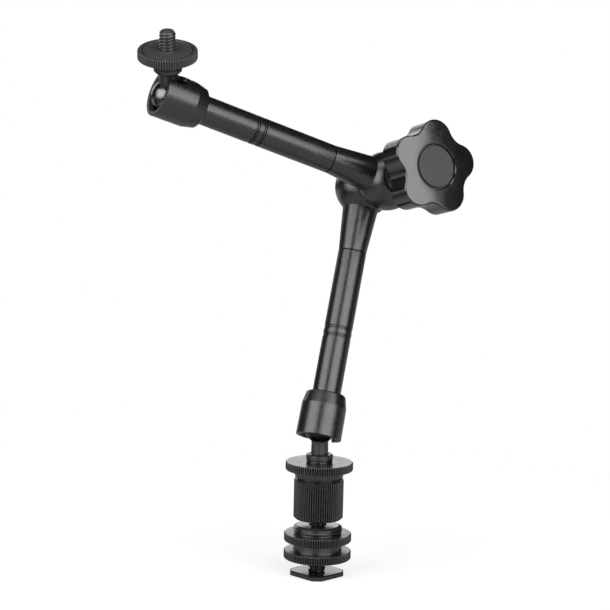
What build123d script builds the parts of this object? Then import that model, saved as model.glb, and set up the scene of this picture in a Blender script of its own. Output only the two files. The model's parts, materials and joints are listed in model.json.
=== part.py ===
from build123d import *
from math import atan, cos, degrees, pi, radians, sin, sqrt, tan
import os

os.makedirs("parts", exist_ok=True)

# An articulating friction arm standing on its accessory-shoe foot, in millimetres.
# The origin is the middle of the foot's underside, +Z runs up the foot's post, and X and Y run
# along the sides of the square foot plate.

# Fits
running = 0.05
screw_clearance = 0.025

# Foot plate and post
plate_width = 18.5
plate_corner = 3.1
plate_thickness = 2.0
plate_edge = 0.35
rivet_radius = 2.5
post_radius = 3.55
rail_gap = 5.3

# Quarter-inch camera screw, left plain here
screw_radius = 3.175
screw_point = 0.8
relief_radius = 2.8
relief_length = 1.2

# Knurled discs of the foot and of the lower stud
disc_radius = 13.6
disc_thickness = 3.35
disc_edge = 0.3
boss_radius = 9.9
boss_height = 3.25
lock_boss_height = 3.0
boss_edge = 0.5
knurl_pitch = 1.0
knurl_depth = 0.3
disc_gap = 0.6
grip_ring_inner = 5.0
grip_ring_outer = 9.0
grip_ring_thickness = 0.8
cap_ring_height = 1.0
cap_ring_round = 0.7
bead_height = 0.9
bead_depth = 0.5

# Coupler between the foot's screw and the lower stud
coupler_gap = 2.65
coupler_radius = 10.05
coupler_length = 17.2
coupler_edge = 0.8
coupler_ring_height = 0.7
post_screw_length = 7.0
stud_screw_length = 7.5

# Ball studs
ball_radius = 7.5
neck_radius = 3.53
collar_radius = 5.3
collar_length = 2.75
collar_edge = 0.7
lower_neck_reach = 10.95
upper_neck_reach = 9.85
thrust_ring_thickness = 0.5

# Lock disc of the upper stud
top_disc_radius = 11.55
top_disc_thickness = 3.4
top_boss_height = 2.7
top_screw_length = 7.7
pad_radius = 9.4
pad_thickness = 1.2
pad_groove = 0.4

# Slotted sockets, measured along the arm from the ball's centre
socket_radius = 9.3
socket_rear_radius = 9.15
socket_mouth = 4.3
socket_edge_place = 8.8
socket_end_place = 13.9
socket_taper_radius = 8.1
socket_round = 1.0
mouth_radius = 8.3
throat_place = 2.6
slot_width = 9.66
slot_end_offset = 0.2
seat_clearance = 0.05

# Pressure cups and push rods
cup_front = 4.4
cup_back = 9.4
cup_edge = 0.3
rod_gap = 0.02
rod_radius = 2.0
rod_head_radius = 4.0
rod_head_length = 1.5
rod_head_room = 0.3

# Tubes
arm_reach = 103.0
tube_radius = 5.75
tube_bore_radius = 3.0
tube_spigot_radius = 5.2
tube_tail_radius = 4.6
tube_tail_length = 9.5
groove_places = (37.9, 41.2)
groove_width = 1.4
groove_depth = 0.5

# Hubs, measured along the hub axis from each arm's centre line
hub_radius = 12.2
hub_pitch = 17.2
elbow_washer_thickness = 0.5
elbow_washer_inner = 5.0
elbow_washer_margin = 0.5
hub_front_place = 9.4
stub_length = 28.5
stub_root_radius = 7.35
stub_root_place = 9.35
stub_inset = 5.0
rod_guide_length = 9.0

# Twin-cone clamping bolt
cone_middle_radius = 3.5
cone_half_length = 4.0
cone_slope = 0.25
cone_land = 0.6
bolt_travel = 1.0
bolt_screw_radius = 3.0
tail_flats = 6.0
tail_length = 3.3
tail_clearance = 0.1
bolt_end_place = 31.8
front_wall = 4.2

# Knob
knob_radius = 19.25
knob_notch_radius = 15.1
knob_lobe_round = 7.0
knob_lobes = 5
knob_turn = 9.3
knob_back_place = 24.8
knob_thickness = 11.3
knob_front_edge = 0.7
knob_back_edge = 0.4
knob_boss_radius = 7.4
knob_boss_flare = 1.2
knob_recess_radius = 12.6
knob_recess_depth = 2.5
knob_washer_outer = 6.8
knob_washer_thickness = 0.25
knob_washer_dish = 0.35
insert_radius = 4.5
insert_length = 15.0
cap_radius = 8.2
cap_groove = 0.9
cap_groove_depth = 0.9
cap_thickness = 1.9

# The pose: the lower arm's lean from upright and its heading, the hub axis about the lower arm,
# the bend at the elbow, and where each slot and the upper stud point
lean = 22.3
lean_heading = 20.4
hub_turn = 144.05
elbow_angle = 89.1
lower_slot_turn = 143.0
upper_slot_turn = 53.4
upper_stud_tilt = 62.6

# Heights up the foot
lower_disc_base = plate_thickness + rail_gap
lower_boss_top = lower_disc_base + disc_thickness + boss_height
upper_disc_base = lower_boss_top + disc_gap
upper_boss_base = upper_disc_base + disc_thickness
upper_boss_top = upper_boss_base + boss_height - cap_ring_height
cap_ring_top = upper_boss_top + cap_ring_height
coupler_base = cap_ring_top + coupler_gap
coupler_top = coupler_base + coupler_length
lock_disc_base = coupler_top + lock_boss_height
lock_disc_top = lock_disc_base + disc_thickness
lower_collar_base = lock_disc_top + thrust_ring_thickness
lower_ball_height = lower_collar_base + collar_length + lower_neck_reach

# Directions and frames: an arm's frame sits at its ball with z towards the hub and x towards
# the mouth of the slot, and a hub's frame has z along the hub axis
centre = (0, 0, 0)
lower_axis = Vector(0, 0, 1).rotate(Axis.Y, lean).rotate(Axis.Z, lean_heading)
level = Vector(0, 0, 1).cross(lower_axis).normalized()
hub_axis = level.rotate(Axis(centre, lower_axis), hub_turn)
upper_axis = lower_axis.rotate(Axis(centre, hub_axis), elbow_angle)
lower_slot = hub_axis.rotate(Axis(centre, lower_axis), lower_slot_turn)
upper_slot = hub_axis.rotate(Axis(centre, upper_axis), upper_slot_turn)

lower_ball = Vector(0, 0, lower_ball_height)
lower_elbow = lower_ball + lower_axis * arm_reach
upper_elbow = lower_elbow + hub_axis * hub_pitch
upper_ball = upper_elbow + upper_axis * arm_reach
upper_stud_axis = upper_axis * cos(radians(upper_stud_tilt)) + upper_slot * sin(radians(upper_stud_tilt))

foot = Plane.XY
lower_arm = Plane(origin=lower_ball, x_dir=lower_slot, z_dir=lower_axis)
upper_arm = Plane(origin=upper_ball, x_dir=upper_slot, z_dir=-upper_axis)
lower_eye = Plane(origin=lower_elbow, x_dir=lower_axis, z_dir=hub_axis)
upper_eye = Plane(origin=upper_elbow, x_dir=upper_axis, z_dir=hub_axis)
knob_frame = Plane(origin=upper_elbow, x_dir=lower_axis, z_dir=hub_axis)
lower_stud = Plane(origin=lower_ball, x_dir=(1, 0, 0), z_dir=(0, 0, -1))
upper_stud = Plane(origin=upper_ball, x_dir=upper_axis.cross(upper_slot), z_dir=upper_stud_axis)

# Sizes that several pieces share
post_bore_radius = post_radius + running
screw_bore_radius = screw_radius + screw_clearance
seat_radius = ball_radius + seat_clearance
throat_radius = sqrt(seat_radius**2 - throat_place**2)
spigot_end_place = cup_back + rod_gap + rod_head_length + rod_head_room
seam_place = arm_reach - stub_length
tail_end_place = seam_place + tube_tail_length
seam_half = hub_pitch / 2 - elbow_washer_thickness / 2
cone_large_radius = cone_middle_radius + cone_slope * cone_half_length
cone_small_radius = cone_middle_radius - cone_slope * cone_half_length
cone_bore_radius = cone_large_radius + running
rod_bore_radius = rod_radius + running
rod_tip_centre = cone_middle_radius + (rod_radius + rod_gap) / cos(atan(cone_slope))
bolt_bore_radius = bolt_screw_radius + running
knob_washer_top = hub_front_place + knob_washer_dish + knob_washer_thickness
knob_front_place = knob_back_place + knob_thickness


def spin(frame):
    """The axis that a turned piece is spun about."""
    return Axis(frame.origin, frame.z_dir)


def upright(frame):
    """A drawing plane through the frame's axis: x is the radius and y is the height along it."""
    return Plane(origin=frame.origin, x_dir=frame.x_dir, z_dir=-frame.y_dir)


def outline(frame, *points):
    """A closed straight-sided profile of (radius, height) points, ready to be spun."""
    with BuildSketch(upright(frame)) as face:
        with BuildLine():
            Polyline(*points, close=True)
        make_face()
    return face.sketch


def knurl_ring(frame, height, radius):
    """The section of a straight knurl at a height: an even ring of pointed teeth."""
    teeth = round(2 * pi * radius / knurl_pitch)
    step = 2 * pi / teeth
    points = []
    for tooth in range(teeth):
        points.append((radius * cos(tooth * step), radius * sin(tooth * step)))
        angle = (tooth + 0.5) * step
        points.append(((radius - knurl_depth) * cos(angle), (radius - knurl_depth) * sin(angle)))
    with BuildSketch(frame.offset(height)) as ring:
        with BuildLine():
            Polyline(*points, close=True)
        make_face()
    return ring.sketch


# Foot plate: a square with cut corners that slides into an accessory shoe
with BuildPart() as shoe_plate:
    with BuildSketch(foot):
        Rectangle(plate_width, plate_width)
        chamfer(vertices(), plate_corner)
        Circle(rivet_radius, mode=Mode.SUBTRACT)
    extrude(amount=plate_thickness)
    chamfer(faces().sort_by(Axis.Z)[-1].outer_wire().edges(), plate_edge)
    chamfer(faces().sort_by(Axis.Z)[0].outer_wire().edges(), plate_edge)

shoe_plate.part.label = "shoe_plate"
export_step(shoe_plate.part, "parts/shoe_plate.step")

# Post: riveted through the plate, with a camera screw on top
with BuildPart() as shoe_post:
    post_top = cap_ring_top - cap_ring_round
    screw_end = coupler_base + post_screw_length
    revolve(
        outline(
            foot,
            (0, 0),
            (rivet_radius, 0),
            (rivet_radius, plate_thickness),
            (post_radius, plate_thickness),
            (post_radius, post_top - plate_edge),
            (post_radius - plate_edge, post_top),
            (screw_radius, post_top),
            (screw_radius, screw_end - screw_point),
            (screw_radius - screw_point, screw_end),
            (0, screw_end),
        ),
        axis=spin(foot),
    )

shoe_post.part.label = "shoe_post"
export_step(shoe_post.part, "parts/shoe_post.step")


def knurled_disc(frame, base, radius, thickness):
    """A knurled rim with its two edges broken, still without its bore."""
    top = base + thickness
    extrude(knurl_ring(frame, base, radius), amount=thickness, dir=frame.z_dir)
    edge_radius = radius - knurl_depth - disc_edge
    revolve(
        outline(
            frame,
            (0, base),
            (edge_radius, base),
            (radius + disc_edge, base + disc_edge + knurl_depth + disc_edge),
            (radius + disc_edge, top - disc_edge - knurl_depth - disc_edge),
            (edge_radius, top),
            (0, top),
        ),
        axis=spin(frame),
        mode=Mode.INTERSECT,
    )


# Lower disc of the foot, which clamps the shoe's rails against the plate
with BuildPart() as shoe_lower_disc:
    knurled_disc(foot, lower_disc_base, disc_radius, disc_thickness)
    revolve(
        outline(
            foot,
            (0, lower_disc_base + disc_thickness),
            (boss_radius, lower_disc_base + disc_thickness),
            (boss_radius, lower_boss_top - boss_edge),
            (boss_radius - boss_edge, lower_boss_top),
            (0, lower_boss_top),
        ),
        axis=spin(foot),
    )
    with BuildSketch(foot.offset(lower_disc_base)):
        Circle(post_bore_radius)
    extrude(amount=lower_boss_top - lower_disc_base, mode=Mode.SUBTRACT)
    with BuildSketch(foot.offset(lower_disc_base)):
        Circle(grip_ring_outer + running)
        Circle(grip_ring_inner - running, mode=Mode.SUBTRACT)
    extrude(amount=grip_ring_thickness, mode=Mode.SUBTRACT)

shoe_lower_disc.part.label = "shoe_lower_disc"
export_step(shoe_lower_disc.part, "parts/shoe_lower_disc.step")

# Grip ring: travels with the lower disc but needn't turn with it
with BuildPart() as shoe_grip_ring:
    with BuildSketch(foot.offset(lower_disc_base)):
        Circle(grip_ring_outer)
        Circle(grip_ring_inner, mode=Mode.SUBTRACT)
    extrude(amount=grip_ring_thickness)

shoe_grip_ring.part.label = "shoe_grip_ring"
export_step(shoe_grip_ring.part, "parts/shoe_grip_ring.step")

# Upper disc of the foot: the lock nut, with a bead round its boss
with BuildPart() as shoe_upper_disc:
    knurled_disc(foot, upper_disc_base, disc_radius, disc_thickness)
    revolve(
        outline(
            foot,
            (0, upper_boss_base),
            (boss_radius - bead_depth, upper_boss_base),
            (boss_radius - bead_depth, upper_boss_base + bead_depth),
            (boss_radius, upper_boss_base + bead_height),
            (boss_radius, upper_boss_top - bead_height),
            (boss_radius - bead_depth, upper_boss_top - bead_height + bead_depth),
            (boss_radius - bead_depth, upper_boss_top),
            (0, upper_boss_top),
        ),
        axis=spin(foot),
    )
    with BuildSketch(foot.offset(upper_disc_base)):
        Circle(post_bore_radius)
    extrude(amount=upper_boss_top - upper_disc_base, mode=Mode.SUBTRACT)

shoe_upper_disc.part.label = "shoe_upper_disc"
export_step(shoe_upper_disc.part, "parts/shoe_upper_disc.step")

# Cap ring: the polished washer that lies on the lock nut
with BuildPart() as shoe_cap_ring:
    revolve(
        outline(
            foot,
            (post_bore_radius, upper_boss_top),
            (boss_radius, upper_boss_top),
            (boss_radius, cap_ring_top - cap_ring_round),
            (boss_radius - 2 * cap_ring_round, cap_ring_top),
            (post_bore_radius, cap_ring_top),
        ),
        axis=spin(foot),
    )

shoe_cap_ring.part.label = "shoe_cap_ring"
export_step(shoe_cap_ring.part, "parts/shoe_cap_ring.step")

# Coupler: a knurled barrel with a camera thread right through it
coupler_body_top = coupler_top - coupler_ring_height
with BuildPart() as coupler:
    extrude(knurl_ring(foot, coupler_base, coupler_radius), amount=coupler_body_top - coupler_base)
    revolve(
        outline(
            foot,
            (0, coupler_base),
            (coupler_radius - coupler_edge, coupler_base),
            (coupler_radius + knurl_depth, coupler_base + coupler_edge + knurl_depth),
            (coupler_radius + knurl_depth, coupler_body_top),
            (0, coupler_body_top),
        ),
        axis=spin(foot),
        mode=Mode.INTERSECT,
    )
    with BuildSketch(foot.offset(coupler_base)):
        Circle(screw_bore_radius)
    extrude(amount=coupler_length, mode=Mode.SUBTRACT)

coupler.part.label = "coupler"
export_step(coupler.part, "parts/coupler.step")

# Coupler ring: the bevelled ring on the coupler, which rises and falls with it
with BuildPart() as coupler_ring:
    revolve(
        outline(
            foot,
            (screw_bore_radius, coupler_body_top),
            (coupler_radius - knurl_depth, coupler_body_top),
            (coupler_radius - knurl_depth - coupler_ring_height, coupler_top),
            (screw_bore_radius, coupler_top),
        ),
        axis=spin(foot),
    )

coupler_ring.part.label = "coupler_ring"
export_step(coupler_ring.part, "parts/coupler_ring.step")

# Lock disc of the lower stud, jammed between the stud's collar and the coupler
with BuildPart() as lower_lock_disc:
    knurled_disc(foot, lock_disc_base, disc_radius, disc_thickness)
    revolve(
        outline(
            foot,
            (0, coupler_top),
            (boss_radius - boss_edge, coupler_top),
            (boss_radius, coupler_top + boss_edge),
            (boss_radius, lock_disc_base),
            (0, lock_disc_base),
        ),
        axis=spin(foot),
    )
    with BuildSketch(foot.offset(coupler_top)):
        Circle(screw_bore_radius)
    extrude(amount=lock_disc_top - coupler_top, mode=Mode.SUBTRACT)

lower_lock_disc.part.label = "lower_lock_disc"
export_step(lower_lock_disc.part, "parts/lower_lock_disc.step")


def ball_stud(frame, neck_reach, screw_length):
    """A ball on a waisted neck, then a collar and a camera screw, all about the frame's z."""
    collar_end = neck_reach + collar_length
    screw_end = collar_end + screw_length
    with Locations(frame.origin):
        Sphere(ball_radius)
    revolve(
        outline(
            frame,
            (0, 0),
            (neck_radius, 0),
            (neck_radius, neck_reach),
            (collar_radius - collar_edge, neck_reach),
            (collar_radius, neck_reach + collar_edge),
            (collar_radius, collar_end),
            (screw_radius, collar_end),
            (screw_radius, screw_end - screw_point),
            (screw_radius - screw_point, screw_end),
            (0, screw_end),
        ),
        axis=spin(frame),
    )


# Lower ball stud, upright over the foot
with BuildPart() as lower_ball_stud:
    ball_stud(lower_stud, lower_neck_reach, lower_collar_base - coupler_top + stud_screw_length)

lower_ball_stud.part.label = "lower_ball_stud"
export_step(lower_ball_stud.part, "parts/lower_ball_stud.step")

# Thrust ring between the lower stud's collar and the lock disc
with BuildPart() as lower_thrust_ring:
    with BuildSketch(foot.offset(lock_disc_top)):
        Circle(collar_radius)
        Circle(screw_bore_radius, mode=Mode.SUBTRACT)
    extrude(amount=thrust_ring_thickness)

lower_thrust_ring.part.label = "lower_thrust_ring"
export_step(lower_thrust_ring.part, "parts/lower_thrust_ring.step")

# Upper ball stud, leaning out through the slot of the upper socket
upper_collar_end = upper_neck_reach + collar_length
top_boss_base = upper_collar_end + thrust_ring_thickness
top_disc_base = top_boss_base + top_boss_height
top_disc_top = top_disc_base + top_disc_thickness
with BuildPart() as upper_ball_stud:
    ball_stud(upper_stud, upper_neck_reach, top_disc_top - upper_collar_end + top_screw_length)
    revolve(
        outline(
            upper_stud,
            (relief_radius, top_disc_top - relief_length),
            (collar_radius, top_disc_top - relief_length),
            (collar_radius, top_disc_top),
            (relief_radius, top_disc_top),
        ),
        axis=spin(upper_stud),
        mode=Mode.SUBTRACT,
    )

upper_ball_stud.part.label = "upper_ball_stud"
export_step(upper_ball_stud.part, "parts/upper_ball_stud.step")

# Thrust ring under the upper lock disc: travels with the disc along the screw
with BuildPart() as top_thrust_ring:
    with BuildSketch(upper_stud.offset(upper_collar_end)):
        Circle(collar_radius)
        Circle(screw_bore_radius, mode=Mode.SUBTRACT)
    extrude(amount=thrust_ring_thickness)

top_thrust_ring.part.label = "top_thrust_ring"
export_step(top_thrust_ring.part, "parts/top_thrust_ring.step")

# Upper lock disc: a knurled platform with a seat for its rubber pad
with BuildPart() as top_disc:
    knurled_disc(upper_stud, top_disc_base, top_disc_radius, top_disc_thickness)
    revolve(
        outline(
            upper_stud,
            (0, top_boss_base),
            (collar_radius, top_boss_base),
            (collar_radius, top_disc_base),
            (0, top_disc_base),
        ),
        axis=spin(upper_stud),
    )
    with BuildSketch(upper_stud.offset(top_disc_top)):
        Circle(pad_radius + pad_groove)
    extrude(amount=-pad_thickness, mode=Mode.SUBTRACT)
    with BuildSketch(upper_stud.offset(top_boss_base)):
        Circle(screw_bore_radius)
    extrude(amount=top_disc_top - top_boss_base, mode=Mode.SUBTRACT)

top_disc.part.label = "top_disc"
export_step(top_disc.part, "parts/top_disc.step")

# Rubber pad that grips the camera's base
with BuildPart() as top_pad:
    with BuildSketch(upper_stud.offset(top_disc_top - pad_thickness)):
        Circle(pad_radius)
        Circle(screw_bore_radius, mode=Mode.SUBTRACT)
    extrude(amount=pad_thickness)

top_pad.part.label = "top_pad"
export_step(top_pad.part, "parts/top_pad.step")


def slotted_socket(frame):
    """A ball socket with a countersunk mouth, a spherical seat and one side slot."""
    with BuildSketch(upright(frame)) as wall:
        with BuildLine():
            Line((throat_radius, -throat_place), (mouth_radius, -socket_mouth))
            Line((mouth_radius, -socket_mouth), (socket_radius, -socket_mouth))
            Line((socket_radius, -socket_mouth), (socket_rear_radius, socket_edge_place))
            Polyline(
                (socket_rear_radius, socket_edge_place),
                (socket_taper_radius, socket_end_place - socket_round / 2),
                (socket_taper_radius - socket_round / 2, socket_end_place),
                (tube_spigot_radius, socket_end_place),
                (tube_spigot_radius, spigot_end_place),
                (seat_radius, spigot_end_place),
                (seat_radius, 0),
            )
            CenterArc((0, 0), seat_radius, 0, -degrees(atan(throat_place / throat_radius)))
        make_face()
    revolve(wall.sketch, axis=spin(frame))
    slot_reach = socket_mouth + 1
    with BuildSketch(Plane(origin=frame.origin, x_dir=frame.z_dir, z_dir=frame.x_dir)) as slot:
        with Locations(((slot_end_offset - slot_reach) / 2, 0)):
            Rectangle(slot_end_offset + slot_reach, slot_width)
        with Locations((slot_end_offset, 0)):
            Circle(slot_width / 2)
    extrude(slot.sketch, amount=socket_radius + 1, dir=frame.x_dir, mode=Mode.SUBTRACT)


def pressure_cup(frame):
    """The cup that the push rod presses against the back of the ball."""
    cup_radius = seat_radius - running
    rim_radius = sqrt(seat_radius**2 - cup_front**2)
    rim_angle = degrees(atan(cup_front / rim_radius))
    with BuildSketch(upright(frame)) as wall:
        with BuildLine():
            CenterArc((0, 0), seat_radius, rim_angle, 90 - rim_angle)
            Polyline(
                (0, seat_radius),
                (0, cup_back),
                (cup_radius - cup_edge, cup_back),
                (cup_radius, cup_back - cup_edge),
                (cup_radius, cup_front),
                (rim_radius, cup_front),
            )
        make_face()
    revolve(wall.sketch, axis=spin(frame))


def arm_tube(frame):
    """A tube with a threaded spigot at each end and two V grooves round its middle."""
    head = [
        (tube_bore_radius, spigot_end_place),
        (tube_spigot_radius, spigot_end_place),
        (tube_spigot_radius, socket_end_place),
        (tube_radius, socket_end_place),
    ]
    grooves = []
    for place in groove_places:
        grooves.append((tube_radius, place - groove_width / 2))
        grooves.append((tube_radius - groove_depth, place))
        grooves.append((tube_radius, place + groove_width / 2))
    tail = [
        (tube_radius, seam_place),
        (tube_tail_radius, seam_place),
        (tube_tail_radius, tail_end_place),
        (tube_bore_radius, tail_end_place),
    ]
    revolve(outline(frame, *head, *grooves, *tail), axis=spin(frame))


def push_rod(frame):
    """A headed rod whose round tip rides on the bolt's cone."""
    head_base = cup_back + rod_gap
    tip_place = arm_reach - rod_tip_centre
    revolve(
        outline(
            frame,
            (0, head_base),
            (rod_head_radius, head_base),
            (rod_head_radius, head_base + rod_head_length),
            (rod_radius, head_base + rod_head_length),
            (rod_radius, tip_place),
            (0, tip_place),
        ),
        axis=spin(frame),
    )
    with Locations(frame.origin + frame.z_dir * tip_place):
        Sphere(rod_radius)


def hub_stub(frame):
    """The flared stub that joins a tube to its hub, solid until it is bored."""
    slope = (stub_root_radius - tube_radius) / (stub_length - stub_root_place)
    inner_place = arm_reach - stub_inset
    inner_radius = tube_radius + slope * (inner_place - seam_place)
    revolve(
        outline(
            frame,
            (0, seam_place),
            (tube_radius, seam_place),
            (inner_radius, inner_place),
            (0, inner_place),
        ),
        axis=spin(frame),
    )


def rod_passage(frame):
    """The bore through a stub: a socket for the tube's tail, a clear run, then the rod guide."""
    guide_place = arm_reach - stub_root_place - rod_guide_length
    revolve(
        outline(
            frame,
            (0, seam_place),
            (tube_tail_radius, seam_place),
            (tube_tail_radius, tail_end_place),
            (tube_bore_radius, tail_end_place),
            (tube_bore_radius, guide_place),
            (rod_bore_radius, guide_place),
            (rod_bore_radius, arm_reach),
            (0, arm_reach),
        ),
        axis=spin(frame),
        mode=Mode.SUBTRACT,
    )


# Lower hub: a ball-shaped eye, closed and domed at the back, with the bolt's keyed pocket
with BuildPart() as lower_hub:
    with Locations(lower_eye.origin):
        Sphere(hub_radius)
    hub_stub(lower_arm)
    split(bisect_by=lower_eye.offset(seam_half), keep=Keep.BOTTOM)
    pocket_place = -cone_half_length - cone_land - bolt_travel - running
    with BuildSketch(lower_eye.offset(seam_half)):
        Circle(cone_bore_radius)
    extrude(amount=pocket_place - seam_half, mode=Mode.SUBTRACT)
    with BuildSketch(lower_eye.offset(pocket_place)):
        RegularPolygon((tail_flats + tail_clearance) / 2, 6, major_radius=False)
    extrude(amount=-tail_length, mode=Mode.SUBTRACT)
    rod_passage(lower_arm)

lower_hub.part.label = "lower_hub"
export_step(lower_hub.part, "parts/lower_hub.step")

# Upper hub: the same eye bored through, with a flat front for the knob's washer
with BuildPart() as upper_hub:
    with Locations(upper_eye.origin):
        Sphere(hub_radius)
    hub_stub(upper_arm)
    split(bisect_by=upper_eye.offset(-seam_half), keep=Keep.TOP)
    split(bisect_by=upper_eye.offset(hub_front_place), keep=Keep.BOTTOM)
    with BuildSketch(upper_eye.offset(-seam_half)):
        Circle(cone_bore_radius)
    extrude(amount=seam_half + hub_front_place - front_wall, mode=Mode.SUBTRACT)
    with BuildSketch(upper_eye.offset(hub_front_place)):
        Circle(bolt_bore_radius)
    extrude(amount=-hub_front_place, mode=Mode.SUBTRACT)
    rod_passage(upper_arm)

upper_hub.part.label = "upper_hub"
export_step(upper_hub.part, "parts/upper_hub.step")

# Elbow washer between the two hubs
with BuildPart() as elbow_washer:
    with BuildSketch(lower_eye.offset(seam_half)):
        Circle(sqrt(hub_radius**2 - seam_half**2) - elbow_washer_margin)
        Circle(elbow_washer_inner, mode=Mode.SUBTRACT)
    extrude(amount=elbow_washer_thickness)

elbow_washer.part.label = "elbow_washer"
export_step(elbow_washer.part, "parts/elbow_washer.step")

# Tubes, sockets, pressure cups and push rods
with BuildPart() as lower_tube:
    arm_tube(lower_arm)

lower_tube.part.label = "lower_tube"
export_step(lower_tube.part, "parts/lower_tube.step")

with BuildPart() as upper_tube:
    arm_tube(upper_arm)

upper_tube.part.label = "upper_tube"
export_step(upper_tube.part, "parts/upper_tube.step")

with BuildPart() as lower_socket:
    slotted_socket(lower_arm)

lower_socket.part.label = "lower_socket"
export_step(lower_socket.part, "parts/lower_socket.step")

with BuildPart() as upper_socket:
    slotted_socket(upper_arm)

upper_socket.part.label = "upper_socket"
export_step(upper_socket.part, "parts/upper_socket.step")

with BuildPart() as lower_cup:
    pressure_cup(lower_arm)

lower_cup.part.label = "lower_cup"
export_step(lower_cup.part, "parts/lower_cup.step")

with BuildPart() as upper_cup:
    pressure_cup(upper_arm)

upper_cup.part.label = "upper_cup"
export_step(upper_cup.part, "parts/upper_cup.step")

with BuildPart() as lower_rod:
    push_rod(lower_arm)

lower_rod.part.label = "lower_rod"
export_step(lower_rod.part, "parts/lower_rod.step")

with BuildPart() as upper_rod:
    push_rod(upper_arm)

upper_rod.part.label = "upper_rod"
export_step(upper_rod.part, "parts/upper_rod.step")

# Clamping bolt: a keyed tail, one cone for each push rod and a screw for the knob
with BuildPart() as clamp_bolt:
    tail_place = -cone_half_length - cone_land
    revolve(
        outline(
            lower_eye,
            (0, tail_place),
            (cone_large_radius, tail_place),
            (cone_large_radius, -cone_half_length),
            (cone_small_radius, cone_half_length),
            (cone_small_radius, hub_pitch + tail_place),
            (cone_large_radius, hub_pitch + tail_place),
            (cone_large_radius, hub_pitch - cone_half_length),
            (cone_small_radius, hub_pitch + cone_half_length),
            (cone_small_radius, hub_pitch + hub_front_place - front_wall),
            (bolt_screw_radius, hub_pitch + hub_front_place - front_wall + running),
            (bolt_screw_radius, hub_pitch + bolt_end_place - screw_point),
            (bolt_screw_radius - screw_point, hub_pitch + bolt_end_place),
            (0, hub_pitch + bolt_end_place),
        ),
        axis=spin(lower_eye),
    )
    with BuildSketch(lower_eye.offset(tail_place)):
        RegularPolygon(tail_flats / 2, 6, major_radius=False)
    extrude(amount=-tail_length)

clamp_bolt.part.label = "clamp_bolt"
export_step(clamp_bolt.part, "parts/clamp_bolt.step")

# Dished spring washer between the hub and the knob
with BuildPart() as knob_washer:
    revolve(
        outline(
            upper_eye,
            (bolt_bore_radius, hub_front_place + knob_washer_dish),
            (knob_washer_outer, hub_front_place),
            (knob_washer_outer, hub_front_place + knob_washer_thickness),
            (bolt_bore_radius, knob_washer_top),
        ),
        axis=spin(upper_eye),
    )

knob_washer.part.label = "knob_washer"
export_step(knob_washer.part, "parts/knob_washer.step")


def lobed_outline(frame, height):
    """The knob's outline: round lobes joined by tangent hollows."""
    half_step = pi / knob_lobes
    lobe_place = knob_radius - knob_lobe_round
    along = lobe_place * cos(half_step)
    hollow_round = (
        lobe_place**2 + knob_notch_radius**2 - 2 * along * knob_notch_radius - knob_lobe_round**2
    ) / (2 * (knob_lobe_round + along - knob_notch_radius))
    hollow_place = knob_notch_radius + hollow_round
    share = knob_lobe_round / (knob_lobe_round + hollow_round)

    def polar(radius, angle):
        return Vector(radius * cos(angle), radius * sin(angle))

    with BuildSketch(frame.offset(height)) as face:
        with BuildLine():
            for lobe in range(knob_lobes):
                angle = radians(knob_turn) + 2 * half_step * lobe
                middle = polar(lobe_place, angle)
                before = polar(hollow_place, angle - half_step)
                after = polar(hollow_place, angle + half_step)
                following = polar(lobe_place, angle + 2 * half_step)
                start = middle + (before - middle) * share
                end = middle + (after - middle) * share
                next_start = following + (after - following) * share
                ThreePointArc(start, polar(knob_radius, angle), end)
                ThreePointArc(end, polar(knob_notch_radius, angle + half_step), next_start)
        make_face()
    return face.sketch


# Knob: five lobes on a long boss, hollowed behind and recessed in front for its cap
with BuildPart() as knob:
    extrude(lobed_outline(knob_frame, knob_back_place), amount=knob_thickness, dir=hub_axis)
    chamfer(faces().sort_by(Axis(upper_elbow, hub_axis))[-1].edges(), knob_front_edge)
    chamfer(faces().sort_by(Axis(upper_elbow, hub_axis))[0].edges(), knob_back_edge)
    with BuildSketch(knob_frame.offset(knob_back_place)):
        Circle(knob_recess_radius)
    extrude(amount=knob_recess_depth, mode=Mode.SUBTRACT)
    boss_base = knob_washer_top + running
    recess_floor = knob_back_place + knob_recess_depth
    revolve(
        outline(
            knob_frame,
            (insert_radius, boss_base),
            (knob_boss_radius, boss_base),
            (knob_boss_radius, recess_floor - knob_boss_flare),
            (knob_boss_radius + knob_boss_flare, recess_floor),
            (insert_radius, recess_floor),
        ),
        axis=spin(knob_frame),
    )
    with BuildSketch(knob_frame.offset(boss_base)):
        Circle(insert_radius)
    extrude(amount=knob_front_place - cap_thickness - boss_base, mode=Mode.SUBTRACT)
    with BuildSketch(knob_frame.offset(knob_front_place)):
        Circle(cap_radius + cap_groove)
    extrude(amount=-cap_thickness, mode=Mode.SUBTRACT)

knob.part.label = "knob"
export_step(knob.part, "parts/knob.step")

# Threaded insert pressed into the knob's boss
with BuildPart() as knob_insert:
    with BuildSketch(knob_frame.offset(boss_base)):
        Circle(insert_radius)
        Circle(bolt_bore_radius, mode=Mode.SUBTRACT)
    extrude(amount=insert_length)

knob_insert.part.label = "knob_insert"
export_step(knob_insert.part, "parts/knob_insert.step")

# Cap in the knob's front, with a groove round it
with BuildPart() as knob_cap:
    revolve(
        outline(
            knob_frame,
            (0, knob_front_place - cap_thickness),
            (cap_radius + cap_groove, knob_front_place - cap_thickness),
            (cap_radius + cap_groove, knob_front_place - cap_groove_depth),
            (cap_radius, knob_front_place - cap_groove_depth),
            (cap_radius, knob_front_place),
            (0, knob_front_place),
        ),
        axis=spin(knob_frame),
    )

knob_cap.part.label = "knob_cap"
export_step(knob_cap.part, "parts/knob_cap.step")
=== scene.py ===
import json
from math import atan, cos, pi, radians, sin, sqrt, tan

import bmesh
import bpy
from mathutils import Matrix, Vector


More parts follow.
